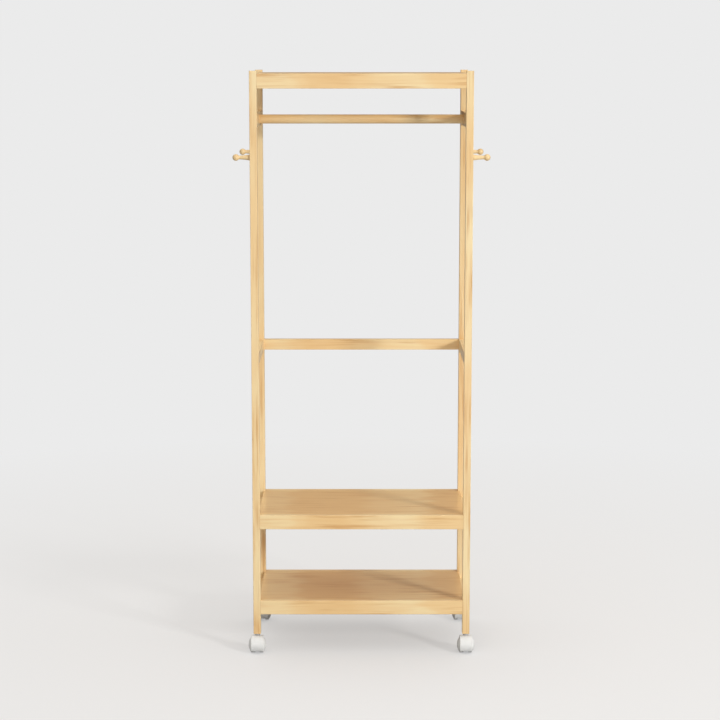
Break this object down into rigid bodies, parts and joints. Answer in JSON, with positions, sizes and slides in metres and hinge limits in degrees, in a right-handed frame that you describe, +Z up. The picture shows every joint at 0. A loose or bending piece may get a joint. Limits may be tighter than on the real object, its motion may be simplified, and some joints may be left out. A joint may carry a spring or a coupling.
{
  "type": "rolling clothes rack",
  "caption": "Tall wooden clothes rack on swivel casters, with a round hanging rod, a top panel, side pegs, a rear stay rail and low shelves.",
  "frame": {"origin": "on the floor, under the middle of the frame", "axes": "+X to the right along the hanging rod, -Y towards the front, +Z up"},
  "size_m": [0.693, 0.378, 1.603],
  "materials": {
    "post_wood": "satin clear lacquer",
    "rail_wood": "satin clear lacquer",
    "panel_wood": "satin clear lacquer",
    "turned_wood": "satin clear lacquer",
    "dowel_wood": "bare beech",
    "hood_plastic": "moulded, slightly glossy",
    "wheel_plastic": "moulded, slightly glossy",
    "socket_plastic": "moulded",
    "caster_steel": "zinc plated",
    "fastener_steel": "zinc plated"
  },
  "bodies": {
    "frame": {"post_front_left": "post_wood", "post_rear_left": "post_wood", "post_front_right": "post_wood", "post_rear_right": "post_wood", "top_side_rail_left": "rail_wood", "top_side_rail_right": "rail_wood", "upper_side_rail_left": "rail_wood", "upper_side_rail_right": "rail_wood", "middle_side_rail_left": "rail_wood", "middle_side_rail_right": "rail_wood", "upper_shelf_side_rail_left": "rail_wood", "upper_shelf_side_rail_right": "rail_wood", "lower_shelf_side_rail_left": "rail_wood", "lower_shelf_side_rail_right": "rail_wood", "top_rail_front": "rail_wood", "top_rail_rear": "rail_wood", "middle_rail_rear": "rail_wood", "upper_shelf_rail_front": "rail_wood", "upper_shelf_rail_rear": "rail_wood", "lower_shelf_rail_front": "rail_wood", "lower_shelf_rail_rear": "rail_wood", "top_panel": "panel_wood", "upper_shelf_panel": "panel_wood", "lower_shelf_panel": "panel_wood", "hanging_rod": "turned_wood", "peg_front_left": "turned_wood", "peg_rear_left": "turned_wood", "peg_front_right": "turned_wood", "peg_rear_right": "turned_wood", "stem_front_left": "caster_steel", "stem_rear_left": "caster_steel", "stem_front_right": "caster_steel", "stem_rear_right": "caster_steel", "frame_bolts": "fastener_steel", "barrel_nuts": "fastener_steel", "rod_screws": "fastener_steel", "peg_screws": "fastener_steel", "cross_rail_dowels": "dowel_wood", "side_rail_dowels": "dowel_wood", "panel_dowels": "dowel_wood", "caster_sockets": "socket_plastic", "stem_clips": "fastener_steel"},
    "caster_front_left": {"hood_front_left": "hood_plastic", "axle_front_left": "caster_steel"},
    "inner_wheel_body_front_left": {"inner_wheel_front_left": "wheel_plastic"},
    "outer_wheel_body_front_left": {"outer_wheel_front_left": "wheel_plastic"},
    "caster_rear_left": {"hood_rear_left": "hood_plastic", "axle_rear_left": "caster_steel"},
    "inner_wheel_body_rear_left": {"inner_wheel_rear_left": "wheel_plastic"},
    "outer_wheel_body_rear_left": {"outer_wheel_rear_left": "wheel_plastic"},
    "caster_front_right": {"hood_front_right": "hood_plastic", "axle_front_right": "caster_steel"},
    "inner_wheel_body_front_right": {"inner_wheel_front_right": "wheel_plastic"},
    "outer_wheel_body_front_right": {"outer_wheel_front_right": "wheel_plastic"},
    "caster_rear_right": {"hood_rear_right": "hood_plastic", "axle_rear_right": "caster_steel"},
    "inner_wheel_body_rear_right": {"inner_wheel_rear_right": "wheel_plastic"},
    "outer_wheel_body_rear_right": {"outer_wheel_rear_right": "wheel_plastic"}
  },
  "joints": [
    {"name": "swivel_front_left", "type": "hinge", "parent": "frame", "child": "caster_front_left", "pos_m": [-0.29, -0.156, 0.048], "axis": [0, 0, 1], "continuous": true},
    {"name": "inner_roll_front_left", "type": "hinge", "parent": "caster_front_left", "child": "inner_wheel_body_front_left", "pos_m": [-0.29, -0.163, 0.022], "axis": [1, 0, 0], "continuous": true},
    {"name": "outer_roll_front_left", "type": "hinge", "parent": "caster_front_left", "child": "outer_wheel_body_front_left", "pos_m": [-0.29, -0.163, 0.022], "axis": [1, 0, 0], "continuous": true},
    {"name": "swivel_rear_left", "type": "hinge", "parent": "frame", "child": "caster_rear_left", "pos_m": [-0.29, 0.156, 0.048], "axis": [0, 0, 1], "continuous": true},
    {"name": "inner_roll_rear_left", "type": "hinge", "parent": "caster_rear_left", "child": "inner_wheel_body_rear_left", "pos_m": [-0.29, 0.163, 0.022], "axis": [1, 0, 0], "continuous": true},
    {"name": "outer_roll_rear_left", "type": "hinge", "parent": "caster_rear_left", "child": "outer_wheel_body_rear_left", "pos_m": [-0.29, 0.163, 0.022], "axis": [1, 0, 0], "continuous": true},
    {"name": "swivel_front_right", "type": "hinge", "parent": "frame", "child": "caster_front_right", "pos_m": [0.29, -0.156, 0.048], "axis": [0, 0, 1], "continuous": true},
    {"name": "inner_roll_front_right", "type": "hinge", "parent": "caster_front_right", "child": "inner_wheel_body_front_right", "pos_m": [0.29, -0.163, 0.022], "axis": [1, 0, 0], "continuous": true},
    {"name": "outer_roll_front_right", "type": "hinge", "parent": "caster_front_right", "child": "outer_wheel_body_front_right", "pos_m": [0.29, -0.163, 0.022], "axis": [1, 0, 0], "continuous": true},
    {"name": "swivel_rear_right", "type": "hinge", "parent": "frame", "child": "caster_rear_right", "pos_m": [0.29, 0.156, 0.048], "axis": [0, 0, 1], "continuous": true},
    {"name": "inner_roll_rear_right", "type": "hinge", "parent": "caster_rear_right", "child": "inner_wheel_body_rear_right", "pos_m": [0.29, 0.163, 0.022], "axis": [1, 0, 0], "continuous": true},
    {"name": "outer_roll_rear_right", "type": "hinge", "parent": "caster_rear_right", "child": "outer_wheel_body_rear_right", "pos_m": [0.29, 0.163, 0.022], "axis": [1, 0, 0], "continuous": true}
  ]
}
